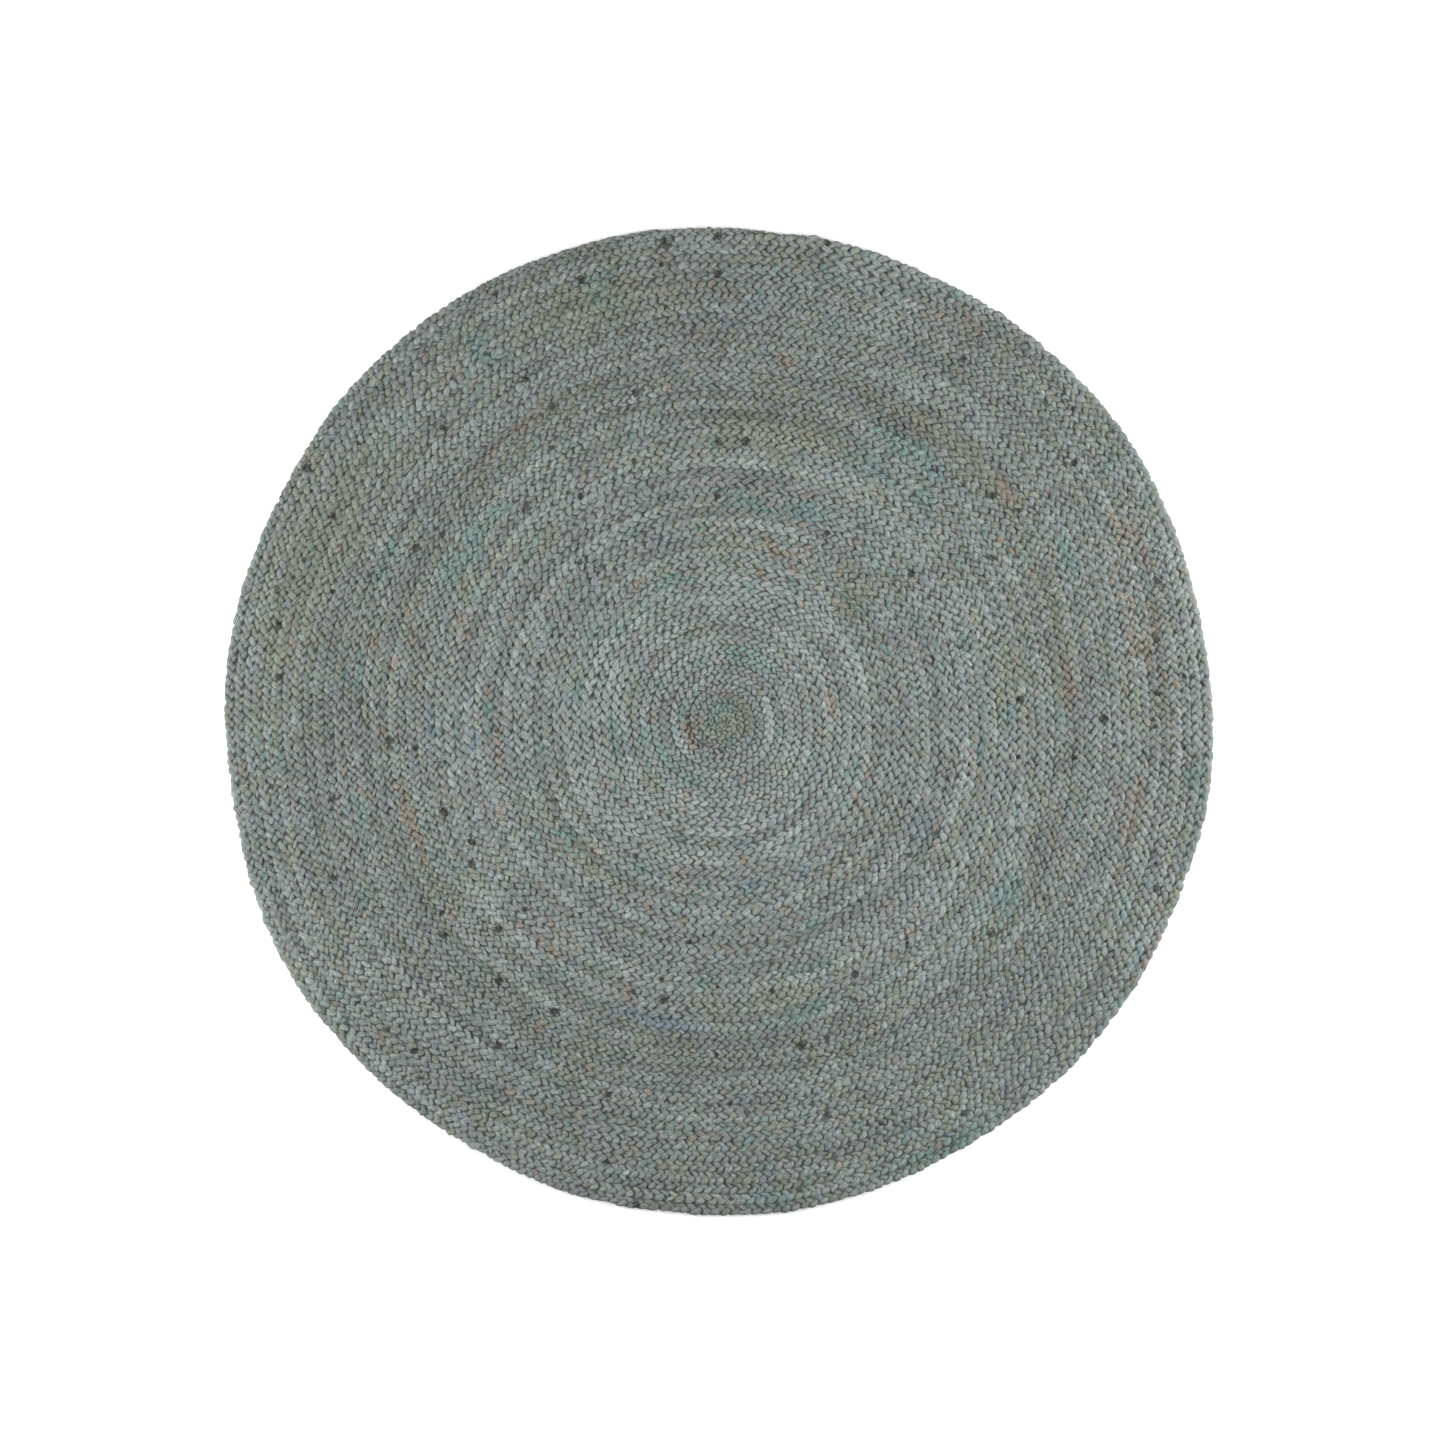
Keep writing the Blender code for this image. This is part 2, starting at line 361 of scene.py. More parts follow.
# patches where the dye took otherwise: bearing from the eye in degrees, then radius, length along the turn and
# width in millimetres, and strength
dyePatches = {
    "teal": (
        (75, 21, 20, 17, 1.4), (200, 14, 19, 17, 1.1), (300, 24, 16, 8, 0.5),
        (56, 401, 84, 26, 1), (48, 363, 38, 24, 0.9), (60, 360, 88, 21, 0.9), (67, 276, 58, 26, 1),
        (83, 265, 74, 17, 0.9), (68, 86, 66, 24, 0.9), (114, 80, 19, 17, 0.8), (148, 90, 19, 17, 0.7),
        (210, 89, 103, 50, 0.6), (240, 77, 40, 21, 0.8), (169, 51, 30, 12, 0.7), (145, 375, 131, 31, 0.9),
        (154, 454, 95, 17, 0.8), (171, 446, 78, 17, 0.8), (110, 181, 47, 19, 1), (168, 178, 37, 14, 1),
        (81, 170, 27, 14, 0.9), (185, 132, 55, 12, 0.9), (288, 369, 90, 14, 0.9), (329, 404, 56, 29, 1),
        (340, 174, 36, 17, 1), (28, 187, 23, 17, 0.9), (24, 216, 23, 12, 0.8), (18, 303, 21, 33, 0.8),
        (217, 241, 51, 19, 0.8), (277, 585, 72, 24, 0.9), (296, 583, 142, 19, 1), (353, 583, 81, 24, 0.8),
        (194, 452, 63, 17, 0.8), (177, 283, 25, 14, 0.9), (116, 256, 22, 14, 0.7), (26, 466, 41, 17, 0.8),
        (206, 485, 30, 17, 0.8), (294, 268, 33, 14, 0.9), (243, 205, 29, 12, 0.8), (140, 170, 30, 17, 0.8),
        (354, 315, 44, 12, 0.8), (290, 319, 56, 12, 0.8), (268, 321, 34, 12, 0.8), (106, 541, 38, 36, 0.8),
        (123, 541, 23, 48, 0.8), (33, 274, 57, 14, 0.8), (49, 276, 24, 14, 0.8), (1, 345, 36, 29, 0.7),
        (147, 190, 20, 10, 0.8),
    ),
    "blue": (
        (258, 372, 169, 21, 1), (280, 199, 42, 12, 0.9), (298, 208, 44, 19, 0.9), (181, 353, 62, 19, 1),
        (185, 303, 32, 17, 0.9), (173, 176, 18, 10, 0.9), (4, 176, 25, 10, 0.9), (186, 375, 78, 10, 0.6),
        (85, 506, 35, 12, 0.8),
    ),
    "rust": (
        (80, 33, 20, 7, 1),
        (14, 523, 201, 48, 0.45), (10, 517, 36, 19, 1), (24, 541, 76, 36, 0.5), (40, 446, 39, 19, 1),
        (80, 444, 34, 17, 1), (127, 432, 136, 14, 0.9), (198, 398, 111, 17, 1), (215, 404, 169, 14, 0.7),
        (239, 432, 21, 31, 1), (63, 234, 21, 17, 1), (72, 220, 38, 29, 0.7), (65, 206, 29, 17, 0.7),
        (158, 341, 14, 12, 1), (8, 133, 37, 14, 0.9), (192, 43, 26, 13, 0.9), (218, 44, 24, 13, 0.8),
        (248, 240, 17, 17, 0.8), (258, 240, 22, 12, 0.8), (288, 240, 12, 12, 0.9), (255, 193, 34, 17, 0.8),
        (279, 169, 24, 21, 0.8), (122, 196, 21, 19, 0.7), (130, 190, 20, 12, 0.6), (202, 288, 30, 17, 0.7),
        (186, 274, 48, 19, 0.6), (226, 222, 39, 14, 0.7), (229, 347, 24, 12, 0.9), (234, 347, 17, 12, 0.9),
        (251, 343, 17, 17, 0.9), (170, 404, 28, 14, 0.9), (347, 511, 143, 29, 0.45),
        (350, 514, 36, 14, 0.9), (296, 416, 17, 36, 0.6), (61, 559, 98, 24, 0.5), (93, 476, 33, 17, 0.8),
        (96, 327, 23, 59, 0.5), (26, 419, 15, 12, 0.9), (7, 422, 88, 14, 0.6), (340, 428, 30, 24, 0.6),
        (53, 331, 23, 12, 0.6),
    ),
    "olive": (
        (0, 10, 50, 50, 0.8), (10, 26, 26, 16, 0.8),
        (43, 214, 45, 59, 0.8), (86, 216, 83, 19, 0.9), (108, 117, 45, 12, 1), (166, 115, 64, 14, 1),
        (218, 113, 24, 12, 1), (162, 184, 39, 10, 1), (80, 357, 137, 48, 0.8), (136, 315, 66, 36, 0.8),
        (223, 238, 116, 31, 0.8), (50, 440, 230, 21, 0.9), (160, 535, 299, 71, 0.7),
        (108, 535, 187, 59, 0.7), (328, 238, 17, 48, 0.7), (282, 345, 120, 24, 0.8), (10, 351, 73, 36, 0.7),
        (116, 149, 16, 12, 0.8), (266, 149, 21, 17, 0.7), (248, 140, 24, 10, 0.8), (356, 131, 27, 12, 0.8),
        (40, 434, 91, 17, 0.9), (153, 345, 12, 12, 1),
    ),
}
# dark slubs caught in the plait: x and y in millimetres from the rug's middle
slubs = (
    (78, 434), (-4, 406), (-127, 532), (-61, 499), (-33, 473), (15, 577), (-39, 105), (-40, -12), (-37, -4),
    (-36, -19), (-31, -26), (-25, -31), (-38, 6), (-6, -40), (4, -38),
    (-381, -98), (-403, 122), (-391, 63), (-539, 18), (-470, -22), (-579, -70), (-401, -297), (-454, -367),
    (-402, -415), (-362, -432), (-259, -385), (-246, -398), (-282, -482), (-325, -348), (-229, -359),
    (-62, -463), (-64, -489), (13, -465), (36, -475), (67, -472), (101, -465), (89, -527), (72, -561),
    (15, -582), (-74, -438), (512, 225), (445, 197), (530, 172), (538, 164), (578, 54), (524, 82),
    (384, -296), (416, -287), (290, -400), (335, -286), (134, 10),
)
# tone and share of olive by radius in millimetres: the strands came from several dye lots
dyeLots = {
    "radius": (12, 36, 60, 109, 158, 182, 206, 255, 279, 303, 328, 376, 400, 425, 449, 498, 546, 600),
    "tone": (
        1.08, 0.92, 1.07, 1.12, 1.13, 1.08, 1.03, 0.99, 0.95,
        1.02, 1.04, 0.99, 0.95, 0.90, 0.94, 0.92, 0.95, 0.96,
    ),
    "olive": (0.5, 0.6, 0.0, 0.2, 0.0, 0.2, 0.5, 0.3, 0.3, 0.2, 0.7, 0.7, 0.8, 1.0, 0.5, 0.7, 0.8, 0.7),
}
# the eye, which patches and lots are measured from, and how soon patches and slubs fade at their edges
dyeSpread = {"eyeMiddle": (0.0036, -0.0012), "patchFall": 1.1, "slubReach": 0.0030}
millimetre = 0.001


def dyeShares(points):
    # how much of each tint every point of a strand takes
    flat = points[:, :2] - np.array(dyeSpread["eyeMiddle"])
    radius = np.linalg.norm(flat, axis=1)
    bearing = np.degrees(np.arctan2(flat[:, 1], flat[:, 0]))
    shares = {}
    for tint, rows in dyePatches.items():
        share = np.zeros(len(points))
        for middle, distance, length, width, strength in rows:
            turned = (bearing - middle + 180) % 360 - 180
            along = np.radians(turned) * radius / (length * millimetre / 2)
            across = (radius - distance * millimetre) / (width * millimetre / 2)
            share = np.maximum(share, strength * np.exp(-dyeSpread["patchFall"] * (along**2 + across**2)))
        shares[tint] = share
    dark = np.zeros(len(points))
    for x, y in slubs:
        away = np.hypot(points[:, 0] - x * millimetre, points[:, 1] - y * millimetre)
        dark = np.maximum(dark, np.exp(-((away / dyeSpread["slubReach"]) ** 2)))
    shares["slub"] = dark
    lotRadius = np.array(dyeLots["radius"]) * millimetre
    shares["lotTone"] = np.interp(radius, lotRadius, dyeLots["tone"])
    shares["lotOlive"] = np.interp(radius, lotRadius, dyeLots["olive"])
    return shares


strandPieces = []
for plait in plaits:
    turns, waves = plaitWaves(plait)
    for ofPlait in range(strand["count"]):
        number = plait["lane"] * strand["count"] + ofPlait
        rings = strandRings(plait, turns, waves, ofPlait, number)
        piece = tubeMesh(f"{plait['name']}Strand{ofPlait + 1}", rings, number, plait["tone"])
        strandPieces.append(piece)
        print(piece.name, len(piece.data.polygons) * 2, "triangles")

# the plait's inside, seen in the gaps between strands: jute, made dark with painted shade
core = {
    "inset": 0.006,
    "top": 0.0060,
    "bottom": 0.0044,
    "ringCount": 24,
    "pointCount": 144,
    "dark": (0.05, 0.055, 0.050, 1),
    "light": (0.14, 0.15, 0.135, 1),
    "noisePerMetre": 900,
    "noiseDetail": 3,
    "roughness": 0.95,
}


def buildCore():
    # a flat disc in rings that follow the turns, then given its thickness
    bearing = np.radians(np.arange(core["pointCount"]) * 360 / core["pointCount"])
    shares = np.linspace(0, 1, core["ringCount"] + 1)[1:]
    levels = [laidOut(np.full(len(bearing), share * rugRadius), bearing) - outlineMiddle for share in shares]
    edge = levels[-1]
    levels[-1] = edge * (1 - core["inset"] / np.linalg.norm(edge, axis=1)[:, None])
    flat = np.concatenate([[np.mean(levels[0], axis=0)], *levels])
    count = core["pointCount"]
    faces = [(0, 1 + k, 1 + (k + 1) % count) for k in range(count)]
    for level in range(core["ringCount"] - 1):
        low, high = 1 + level * count, 1 + (level + 1) * count
        faces += [(low + k, high + k, high + (k + 1) % count, low + (k + 1) % count) for k in range(count)]
    upper = np.concatenate([flat, np.full((len(flat), 1), core["top"])], 1)
    mesh = bpy.data.meshes.new("plaitInside")
    mesh.from_pydata(upper.tolist(), [], faces)
    piece = bpy.data.objects.new("plaitInside", mesh)
    bpy.context.collection.objects.link(piece)
    bpy.context.view_layer.objects.active = piece
    piece.select_set(True)
    thick = piece.modifiers.new("thickness", "SOLIDIFY")
    thick.thickness = core["top"] - core["bottom"]
    thick.offset = -1.0
    bpy.ops.object.modifier_apply(modifier=thick.name)
    piece.select_set(False)
    return piece


plaitInside = buildCore()
print("plaitInside", len(plaitInside.data.polygons), "faces")


def addNode(tree, kind, **settings):
    node = tree.nodes.new(kind)
    for name, value in settings.items():
        setattr(node, name, value)
    return node


def feed(tree, socket, value):
    # another node's output is linked to the socket, and a number or a colour is set on it
    if isinstance(value, bpy.types.NodeSocket):
        tree.links.new(value, socket)
    else:
        socket.default_value = value


def mathNode(tree, operation, *values):
    node = addNode(tree, "ShaderNodeMath", operation=operation)
    for socket, value in zip(node.inputs, values):
        feed(tree, socket, value)
    return node.outputs[0]


def times(tree, first, second):
    return mathNode(tree, "MULTIPLY", first, second)


def plus(tree, first, second):
    return mathNode(tree, "ADD", first, second)


def minus(tree, first, second):
    return mathNode(tree, "SUBTRACT", first, second)


def swing(tree, noise, depth):
    # a noise around 0.5 made a factor around 1
    return mathNode(tree, "MULTIPLY_ADD", minus(tree, noise, 0.5), depth, 1.0)


def mixColour(tree, factor, first, second):
    node = addNode(tree, "ShaderNodeMix", data_type="RGBA")
    for index, value in ((0, factor), (6, first), (7, second)):  # the sockets that mix colours
        feed(tree, node.inputs[index], value)
    return node.outputs[2]


def mapRange(tree, value, fromMin, fromMax, toMin=0.0, toMax=1.0, smooth=True):
    node = addNode(tree, "ShaderNodeMapRange", interpolation_type="SMOOTHSTEP" if smooth else "LINEAR")
    tree.links.new(value, node.inputs["Value"])
    for name, number in (("From Min", fromMin), ("From Max", fromMax), ("To Min", toMin), ("To Max", toMax)):
        node.inputs[name].default_value = number
    return node.outputs["Result"]


def noiseOn(tree, vector, detail, roughness=0.5, scale=1.0):
    noise = addNode(tree, "ShaderNodeTexNoise")
    tree.links.new(vector, noise.inputs["Vector"])
    for name, number in (("Scale", scale), ("Detail", detail), ("Roughness", roughness)):
        noise.inputs[name].default_value = number
    return noise.outputs["Fac"]


def noiseAt(tree, x, y, z, detail, roughness):
    vector = addNode(tree, "ShaderNodeCombineXYZ")
    for socket, value in zip(vector.inputs, (x, y, z)):
        feed(tree, socket, value)
    return noiseOn(tree, vector.outputs[0], detail, roughness)


def shareOf(tree, name):
    return addNode(tree, "ShaderNodeAttribute", attribute_name=name).outputs["Fac"]


# dyed jute, and the shade painted into it at the grains' ends and flanks: colours are linear. A noise's rate is
# in changes per grain of a strand, per wave of its plait or per metre. From and to are the noise's values where a
# tint sets in and where it's full, and most is how strong
dyeAndShade = {
    "coolLight": (0.224, 0.253, 0.246, 1),
    "coolDark": (0.183, 0.204, 0.200, 1),
    "olive": (0.188, 0.206, 0.155, 1),
    "teal": (0.139, 0.214, 0.197, 1),
    "blue": (0.150, 0.203, 0.236, 1),
    "rust": (0.222, 0.181, 0.142, 1),
    "bare": (0.190, 0.145, 0.070, 1),
    "slub": (0.045, 0.045, 0.038, 1),
    "tints": (
        {"tint": "olive", "perWave": 0.50, "perMetre": 60, "from": 0.50, "to": 0.62, "most": 0.75, "seed": 3.1},
        {"tint": "blue", "perWave": 0.50, "perMetre": 60, "from": 0.60, "to": 0.70, "most": 0.70, "seed": 11.7},
        {"tint": "teal", "perWave": 0.55, "perMetre": 56, "from": 0.54, "to": 0.66, "most": 0.75, "seed": 23.9},
        {"tint": "rust", "perWave": 0.60, "perMetre": 62, "from": 0.57, "to": 0.68, "most": 0.70, "seed": 37.3},
    ),
    "patchPull": 0.28,
    "lotPull": 0.09,
    # lighter and darker blotches, and the clusters where the painted shade at the grains' ends and flanks is
    # deeper
    "blotch": {"perWave": 0.35, "perMetre": 26, "from": 0.42, "to": 0.58, "seed": 51.0},
    "shadeClusters": {"perWave": 0.35, "perMetre": 24, "from": 0.44, "to": 0.60, "seed": 63.0},
    # how such a noise is made up, along the turns and across them, and how soon it changes from strand to strand
    "lengths": {"along": 0.62, "across": 0.38, "perStrand": 0.4, "detail": 2.0, "roughness": 0.55},
    "missed": {"from": 0.57, "to": 0.64, "most": 0.8, "flank": (0.10, 0.65)},
    "slubs": {"ragged": 1.5, "from": 0.25, "to": 0.6, "most": 0.9},
    # share of the cells that get no speck, a speck's greatest reach, and its size near the eye and further out
    "specks": {
        "perMetre": 30, "without": 0.77, "reach": 0.0066, "ragged": 2.6, "edge": 0.035, "most": 0.9,
        "nearEye": 0.45, "growing": (0.12, 0.36),
    },
    "fibres": {"along": 2.1, "across": 2.3, "twist": 0.55, "perStrand": 37.7, "detail": 3.0, "roughness": 0.65},
    "fineFibres": {"along": 2.6, "across": 4.4, "detail": 3.0, "roughness": 0.6},
    "slow": {"perGrain": 0.03, "detail": 3.0, "roughness": 0.6, "seed": 2.3},
    "streaks": {"perWave": 0.09, "perStrand": 0.05, "detail": 4.0, "roughness": 0.55, "seed": 51.0},
    # how much lighter or darker each of these makes it
    "tones": {"fibre": 2.1, "fineFibre": 2.2, "grain": 0.14, "slow": 0.30, "blotch": 0.10, "streak": 1.15},
    # painted shade at the ends of the grains, where they dip under the next, and down their flanks, more near the
    # eye
    "ends": {"shade": 0.42, "from": 0.32, "to": 0.5},
    "flanks": {"shade": 0.42, "from": 0.05, "to": 0.60, "eyeShade": 0.15, "eyeFading": (0.03, 0.12)},
    "bump": {"strength": 0.7, "distance": 0.0018, "fibre": 0.6, "fineFibre": 0.4},
    "roughness": 0.8,
    "specular": 0.4,
}


def strandPlaces(tree):
    # a point's place in the rug, along and round its strand and along its plait, and how far it is off the flanks
    uv = addNode(tree, "ShaderNodeUVMap", uv_map="strandMap")
    parts = addNode(tree, "ShaderNodeSeparateXYZ")
    tree.links.new(uv.outputs[0], parts.inputs[0])
    along, around = parts.outputs[0], parts.outputs[1]
    inRug = addNode(tree, "ShaderNodeTexCoord").outputs["Object"]
    fromMiddle = addNode(tree, "ShaderNodeVectorMath", operation="LENGTH")
    tree.links.new(inRug, fromMiddle.inputs[0])
    number = shareOf(tree, "strandNumber")
    turned = times(tree, around, 2 * np.pi)
    return {
        "inRug": inRug,
        "fromMiddle": fromMiddle.outputs["Value"],
        "along": along,
        "turned": turned,
        "number": number,
        "shift": times(tree, number, dyeAndShade["fibres"]["perStrand"]),  # so that no two strands have the same noise
        "wave": minus(tree, times(tree, along, 0.25), times(tree, number, 1 / strand["count"])),
        "crest": mathNode(tree, "ABSOLUTE", mathNode(tree, "SINE", turned)),
    }


def fibreNoises(tree, at):
    # fibres run along the strand with a slight twist
    coarse, fine = dyeAndShade["fibres"], dyeAndShade["fineFibres"]
    angle = plus(tree, at["turned"], times(tree, at["along"], coarse["twist"]))
    x = times(tree, mathNode(tree, "COSINE", angle), coarse["across"])
    y = plus(tree, times(tree, mathNode(tree, "SINE", angle), coarse["across"]), at["shift"])
    fibre = noiseAt(tree, times(tree, at["along"], coarse["along"]), x, y, coarse["detail"], coarse["roughness"])
    x, y = times(tree, x, fine["across"]), times(tree, y, fine["across"])
    fineFibre = noiseAt(tree, times(tree, at["along"], fine["along"]), x, y, fine["detail"], fine["roughness"])
    return fibre, fineFibre


def slowNoises(tree, at):
    # one runs along a strand, and one along the turn on all three
    row = dyeAndShade["slow"]
    alongStrand = times(tree, at["along"], row["perGrain"])
    slow = noiseAt(tree, alongStrand, row["seed"], at["shift"], row["detail"], row["roughness"])
    row = dyeAndShade["streaks"]
    alongTurn, shift = times(tree, at["wave"], row["perWave"]), times(tree, at["number"], row["perStrand"])
    return slow, noiseAt(tree, alongTurn, row["seed"], shift, row["detail"], row["roughness"])


def grainNoise(tree, at):
    # one random value for each grain
    grain = addNode(tree, "ShaderNodeCombineXYZ")
    tree.links.new(mathNode(tree, "FLOOR", at["along"]), grain.inputs[0])
    tree.links.new(at["number"], grain.inputs[1])
    noise = addNode(tree, "ShaderNodeTexWhiteNoise", noise_dimensions="2D")
    tree.links.new(grain.outputs[0], noise.inputs["Vector"])
    return noise.outputs["Value"]


def dyeAndShadeNoise(tree, at, row):
    # most of it runs along the turn on all three strands, and the rest lies across the turns
    lengths = dyeAndShade["lengths"]
    alongTurn = times(tree, at["wave"], row["perWave"])
    shift = times(tree, at["number"], lengths["perStrand"])
    alongTurn = noiseAt(tree, alongTurn, row["seed"], shift, lengths["detail"], lengths["roughness"])
    spot = addNode(tree, "ShaderNodeVectorMath", operation="MULTIPLY_ADD")
    tree.links.new(at["inRug"], spot.inputs[0])
    spot.inputs[1].default_value = (row["perMetre"],) * 3
    spot.inputs[2].default_value = (row["seed"],) * 3
    acrossTurns = noiseOn(tree, spot.outputs[0], lengths["detail"])
    return plus(tree, times(tree, alongTurn, lengths["along"]), times(tree, acrossTurns, lengths["across"]))


def tintedColour(tree, at, blotch):
    # cool grey-green, darker and lighter, with the tints over it
    lightness = mapRange(tree, blotch, dyeAndShade["blotch"]["from"], dyeAndShade["blotch"]["to"])
    colour = mixColour(tree, lightness, dyeAndShade["coolDark"], dyeAndShade["coolLight"])
    for row in dyeAndShade["tints"]:
        patch = times(tree, shareOf(tree, row["tint"]), dyeAndShade["patchPull"])
        strength = plus(tree, dyeAndShadeNoise(tree, at, row), patch)
        if row["tint"] == "olive":
            lot = minus(tree, shareOf(tree, "lotOlive"), 0.5)
            strength = plus(tree, strength, times(tree, lot, dyeAndShade["lotPull"]))
        mask = mapRange(tree, strength, row["from"], row["to"], 0.0, row["most"])
        colour = mixColour(tree, mask, colour, dyeAndShade[row["tint"]])
    return colour


def darkSpots(tree, at, fibre, fineFibre):
    # the placed slubs, and specks at random places that are smaller near the middle
    slub, specks = dyeAndShade["slubs"], dyeAndShade["specks"]
    placed = times(tree, shareOf(tree, "slub"), swing(tree, fineFibre, slub["ragged"]))
    placed = mapRange(tree, placed, slub["from"], slub["to"], 0.0, slub["most"])
    cells = addNode(tree, "ShaderNodeTexVoronoi", voronoi_dimensions="2D")
    cells.inputs["Scale"].default_value = specks["perMetre"]
    tree.links.new(at["inRug"], cells.inputs["Vector"])
    picked = addNode(tree, "ShaderNodeSeparateXYZ")
    tree.links.new(cells.outputs["Color"], picked.inputs[0])
    widest = specks["reach"] * specks["perMetre"]
    reach = mapRange(tree, picked.outputs[0], specks["without"], 1.0, 0.0, widest, smooth=False)
    reach = times(tree, reach, mapRange(tree, at["fromMiddle"], *specks["growing"], specks["nearEye"], 1.0))
    away = times(tree, cells.outputs["Distance"], swing(tree, fibre, specks["ragged"]))
    strewn = mapRange(tree, minus(tree, reach, away), 0.0, specks["edge"], 0.0, specks["most"])
    return mathNode(tree, "MAXIMUM", placed, strewn)


def grainShades(tree, at, shadeClusters):
    # painted shade: in the shade clusters a grain is darker where it dips under the next one and down its flanks,
    # and near the eye its flanks are always darker
    end, flank = dyeAndShade["ends"], dyeAndShade["flanks"]
    fromGrainMiddle = mathNode(tree, "ABSOLUTE", minus(tree, mathNode(tree, "FRACT", at["along"]), 0.5))
    atEnd = mapRange(tree, fromGrainMiddle, end["from"], end["to"])
    ends = times(tree, atEnd, times(tree, shadeClusters, end["shade"]))
    depth = mapRange(tree, at["fromMiddle"], *flank["eyeFading"], flank["eyeShade"], 0.0)
    depth = plus(tree, depth, times(tree, shadeClusters, flank["shade"]))
    flanks = times(tree, depth, mapRange(tree, at["crest"], flank["from"], flank["to"], 1.0, 0.0))
    return minus(tree, 1.0, ends), minus(tree, 1.0, flanks)


def strandMaterial():
    material = bpy.data.materials.new("dyedJuteStrandAndShade")
    material.use_nodes = True
    tree = material.node_tree
    shader = tree.nodes["Principled BSDF"]
    at = strandPlaces(tree)
    fibre, fineFibre = fibreNoises(tree, at)
    blotch = dyeAndShadeNoise(tree, at, dyeAndShade["blotch"])
    colour = tintedColour(tree, at, blotch)
    colour = mixColour(tree, darkSpots(tree, at, fibre, fineFibre), colour, dyeAndShade["slub"])

    # one noise gives the clusters of deeper painted shade, and the places where the dye missed the flanks, where
    # the strands press on each other
    shadeAndBareNoise = dyeAndShadeNoise(tree, at, dyeAndShade["shadeClusters"])
    shadeClusters = mapRange(tree, shadeAndBareNoise, dyeAndShade["shadeClusters"]["from"], dyeAndShade["shadeClusters"]["to"])
    undyed = dyeAndShade["missed"]
    missed = mapRange(tree, shadeAndBareNoise, undyed["from"], undyed["to"])
    pressed = mapRange(tree, at["crest"], *undyed["flank"], undyed["most"], 0.0)
    colour = mixColour(tree, times(tree, pressed, missed), colour, dyeAndShade["bare"])

    # fibres, grains, lengths of strand, blotches and streaks along the turns
    slow, streak = slowNoises(tree, at)
    tones = dyeAndShade["tones"]
    tone = swing(tree, fibre, tones["fibre"])
    for noise, name in (
        (fineFibre, "fineFibre"), (grainNoise(tree, at), "grain"), (slow, "slow"), (blotch, "blotch"),
        (streak, "streak"),
    ):
        tone = times(tree, tone, swing(tree, noise, tones[name]))
    # then the painted shade at the grains' ends and flanks, and the tone of the dye lot
    ends, flanks = grainShades(tree, at, shadeClusters)
    tone = times(tree, times(tree, tone, ends), times(tree, flanks, shareOf(tree, "lotTone")))
    toned = addNode(tree, "ShaderNodeVectorMath", operation="SCALE")
    tree.links.new(colour, toned.inputs[0])
    tree.links.new(tone, toned.inputs["Scale"])
    tree.links.new(toned.outputs[0], shader.inputs["Base Color"])

    relief = dyeAndShade["bump"]
    bump = addNode(tree, "ShaderNodeBump")
    bump.inputs["Strength"].default_value = relief["strength"]
    bump.inputs["Distance"].default_value = relief["distance"]
    height = plus(tree, times(tree, fibre, relief["fibre"]), times(tree, fineFibre, relief["fineFibre"]))
    tree.links.new(height, bump.inputs["Height"])
    tree.links.new(bump.outputs[0], shader.inputs["Normal"])
    shader.inputs["Roughness"].default_value = dyeAndShade["roughness"]
    shader.inputs["Specular IOR Level"].default_value = dyeAndShade["specular"]
    return material


def insideJuteAndShadeMaterial():
    material = bpy.data.materials.new("plaitInsideJuteAndShade")
    material.use_nodes = True
    tree = material.node_tree
    shader = tree.nodes["Principled BSDF"]
    inRug = addNode(tree, "ShaderNodeTexCoord").outputs["Object"]
    noise = noiseOn(tree, inRug, core["noiseDetail"], scale=core["noisePerMetre"])
    # painted shade: the inside is far darker than the strands, for the shade in the gaps
    tree.links.new(mixColour(tree, noise, core["dark"], core["light"]), shader.inputs["Base Color"])
    shader.inputs["Roughness"].default_value = core["roughness"]
    return material


juteMaterial = strandMaterial()
for piece in strandPieces:
    piece.data.materials.append(juteMaterial)
    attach(piece, "root")
    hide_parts("rug")
plaitInside.data.materials.append(insideJuteAndShadeMaterial())
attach(plaitInside, "root")
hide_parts("rug")
print("materials on")

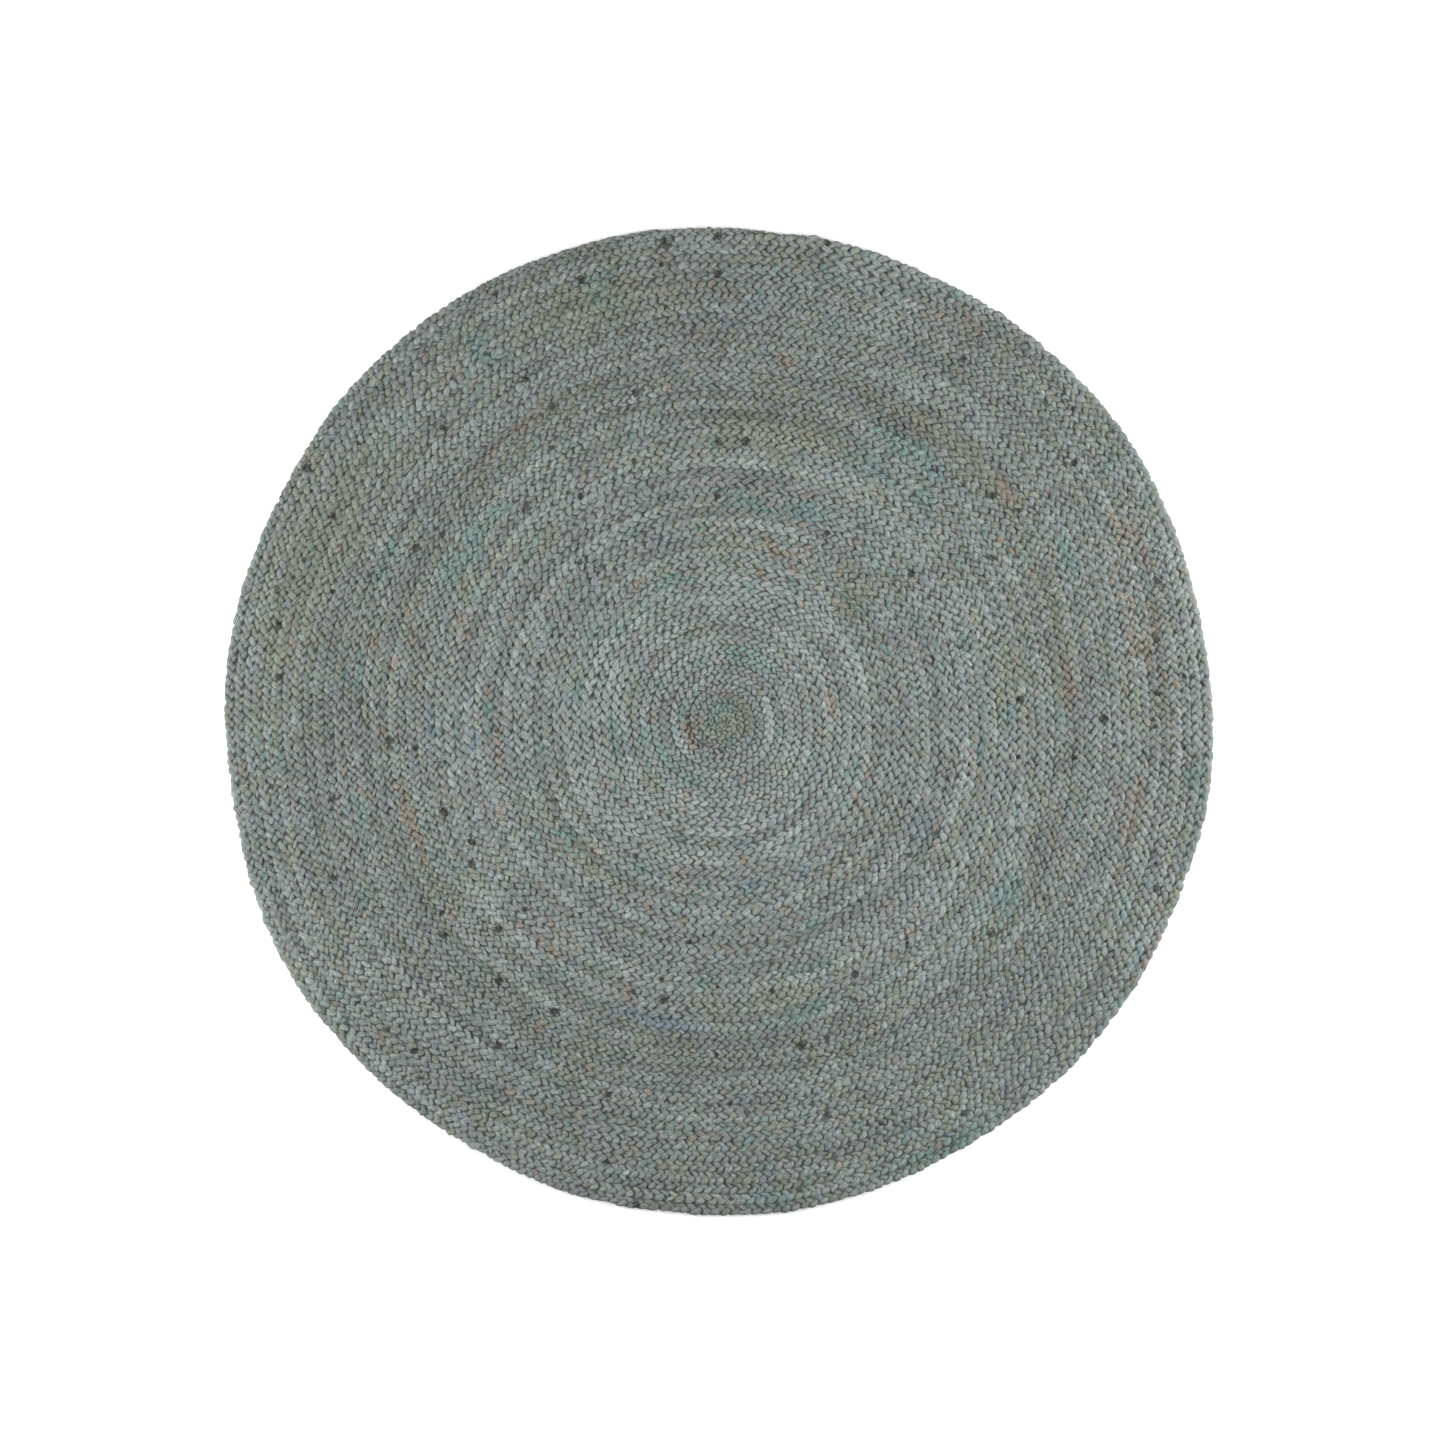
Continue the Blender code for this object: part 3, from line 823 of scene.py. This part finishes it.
# pale floor, soft lights, and a camera straight above
studio = {
    "floorSize": 12,
    "floorColour": (0.96, 0.96, 0.96, 1),
    "floorRoughness": 0.9,
    "worldColour": (1, 1, 1, 1),
    "worldStrength": 0.40,
    "lookAt": (0.0012, 0.0006, 0.008),
    "frameWidth": 1.748,
    "lens": 70.0,
    "sensorWidth": 36.0,
    "lights": (
        {"name": "overheadSoftbox", "place": (0.0, 0.0, 3.2), "size": 2.2, "power": 12.0},
        {"name": "leftSoftbox", "place": (-2.2, 0.0, 1.15), "size": 1.3, "power": 65.0},
        {"name": "rightSoftbox", "place": (2.2, 0.1, 1.15), "size": 1.3, "power": 72.0},
    ),
}

bpy.ops.mesh.primitive_plane_add(size=studio["floorSize"], location=(0, 0, 0))
floor = bpy.context.object
floor.name = "paleFloor"
bpy.ops.object.transform_apply(location=True, rotation=True, scale=True)
floorMaterial = bpy.data.materials.new("paleFloor")
floorMaterial.use_nodes = True
floorShader = floorMaterial.node_tree.nodes["Principled BSDF"]
floorShader.inputs["Base Color"].default_value = studio["floorColour"]
floorShader.inputs["Roughness"].default_value = studio["floorRoughness"]
floor.data.materials.append(floorMaterial)

world = bpy.context.scene.world or bpy.data.worlds.new("softRoom")
bpy.context.scene.world = world
world.use_nodes = True
background = world.node_tree.nodes["Background"]
background.inputs["Color"].default_value = studio["worldColour"]
background.inputs["Strength"].default_value = studio["worldStrength"]

for row in studio["lights"]:
    data = bpy.data.lights.new(row["name"], "AREA")
    data.energy = row["power"]
    data.size = row["size"]
    lamp = bpy.data.objects.new(row["name"], data)
    lamp.location = row["place"]
    lamp.rotation_euler = (-Vector(row["place"])).to_track_quat("-Z", "Y").to_euler()
    bpy.context.collection.objects.link(lamp)

cameraData = bpy.data.cameras.new("overRug")
cameraData.lens = studio["lens"]
cameraData.sensor_width = studio["sensorWidth"]
camera = bpy.data.objects.new("overRug", cameraData)
lookX, lookY, lookZ = studio["lookAt"]
camera.location = (lookX, lookY, lookZ + studio["frameWidth"] * studio["lens"] / studio["sensorWidth"])
bpy.context.collection.objects.link(camera)
bpy.context.scene.camera = camera
print("floor, lights and camera set")
